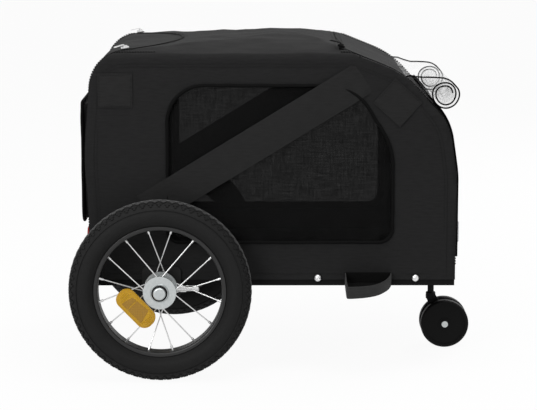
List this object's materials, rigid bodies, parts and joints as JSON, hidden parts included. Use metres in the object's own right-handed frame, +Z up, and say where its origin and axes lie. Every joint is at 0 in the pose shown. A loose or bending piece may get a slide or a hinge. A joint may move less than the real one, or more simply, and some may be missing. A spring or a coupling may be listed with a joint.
{
  "type": "dog bike trailer",
  "caption": "Enclosed fabric dog trailer for a bicycle: tube frame, mesh side windows, zipped end doors, spoked air-tyred wheels and a swivel nose caster.",
  "frame": {"origin": "middle of the footprint box, on the ground, wheels and caster standing at z = 0", "axes": "+X forward to the caster and tow end, +Y to the trailer's left, +Z up"},
  "size_m": [0.679, 0.566, 0.5556],
  "materials": {
    "frame_paint": "satin black powder coat",
    "zinc": "zinc plated steel",
    "spoke_steel": "bright drawn steel wire",
    "cover_fabric": "charcoal woven polyester, coated",
    "trim_fabric": "charcoal polyester, second layer",
    "webbing": "woven polypropylene webbing",
    "piping": "black bias binding over cord",
    "mesh": "open polyester net",
    "floor_fabric": "black coated floor sheet",
    "mat": "padded floor mat",
    "tyre_rubber": "black moulded rubber",
    "rim_black": "gloss black rim",
    "hub_zinc": "zinc plated pressed hub",
    "seal_rubber": "black bearing seal",
    "caster_plastic": "black moulded plastic",
    "caster_tread": "black polyurethane",
    "amber": "amber prism reflector",
    "red_lens": "red prism reflector",
    "white_lens": "clear prism reflector",
    "clear_sheet": "clear vinyl, rolled"
  },
  "bodies": {
    "chassis": {"axle_bracket_left": "frame_paint", "axle_bracket_right": "frame_paint", "axle_lock_left": "zinc", "axle_lock_right": "zinc", "axle_pin_left": "zinc", "axle_pin_right": "zinc", "base_rail_left": "frame_paint", "base_rail_right": "frame_paint", "brace_bands": "trim_fabric", "caster_bracket": "frame_paint", "corner_patches": "trim_fabric", "cross_tube_front": "frame_paint", "cross_tube_middle": "frame_paint", "cross_tube_rear": "frame_paint", "floor_mat": "mat", "floor_panel": "floor_fabric", "front_surround": "cover_fabric", "rear_surround": "cover_fabric", "roof_bar_front": "frame_paint", "roof_bar_rear": "frame_paint", "roof_panel": "cover_fabric", "side_hoop_left": "frame_paint", "side_hoop_right": "frame_paint", "side_panel_left": "cover_fabric", "side_panel_right": "cover_fabric", "strap_loop_left": "webbing", "strap_loop_right": "webbing", "tow_bracket": "frame_paint", "window_mesh_left": "mesh", "window_mesh_right": "mesh", "window_piping": "piping"},
    "rear_door_leaf": {"rear_door": "cover_fabric", "rear_door_mesh": "mesh", "rear_window_cover": "trim_fabric", "rear_reflectors": "red_lens"},
    "front_door_leaf": {"front_door": "cover_fabric", "front_door_mesh": "mesh", "rain_cover_roll": "clear_sheet", "front_reflectors": "white_lens"},
    "right_wheel": {"tyre_right": "tyre_rubber", "rim_right": "rim_black", "spokes_right": "spoke_steel", "hub_right": "hub_zinc", "hub_seal_right": "seal_rubber", "wheel_reflector_right": "amber"},
    "left_wheel": {"tyre_left": "tyre_rubber", "rim_left": "rim_black", "spokes_left": "spoke_steel", "hub_left": "hub_zinc", "hub_seal_left": "seal_rubber", "wheel_reflector_left": "amber"},
    "caster_fork": {"caster_yoke": "caster_plastic"},
    "caster_wheel_pair": {"caster_wheels": "caster_tread", "caster_axle": "zinc"}
  },
  "joints": [
    {"name": "right_wheel_spin", "type": "hinge", "parent": "chassis", "child": "right_wheel", "pos_m": [-0.1895, -0.25, 0.15], "axis": [0, 1, 0], "continuous": true},
    {"name": "left_wheel_spin", "type": "hinge", "parent": "chassis", "child": "left_wheel", "pos_m": [-0.1895, 0.25, 0.15], "axis": [0, 1, 0], "continuous": true},
    {"name": "caster_swivel", "type": "hinge", "parent": "chassis", "child": "caster_fork", "pos_m": [0.274, 0, 0.09], "axis": [0, 0, 1], "continuous": true},
    {"name": "caster_wheel_spin", "type": "hinge", "parent": "caster_fork", "child": "caster_wheel_pair", "pos_m": [0.2975, 0, 0.042], "axis": [0, 1, 0], "continuous": true},
    {"name": "rear_door_hinge", "type": "hinge", "parent": "chassis", "child": "rear_door_leaf", "pos_m": [-0.3043, 0, 0.17265], "axis": [0, -1, 0], "range_deg": [0, 105]},
    {"name": "front_door_hinge", "type": "hinge", "parent": "chassis", "child": "front_door_leaf", "pos_m": [0.2975, 0, 0.17265], "axis": [0, 1, 0], "range_deg": [0, 105]}
  ]
}
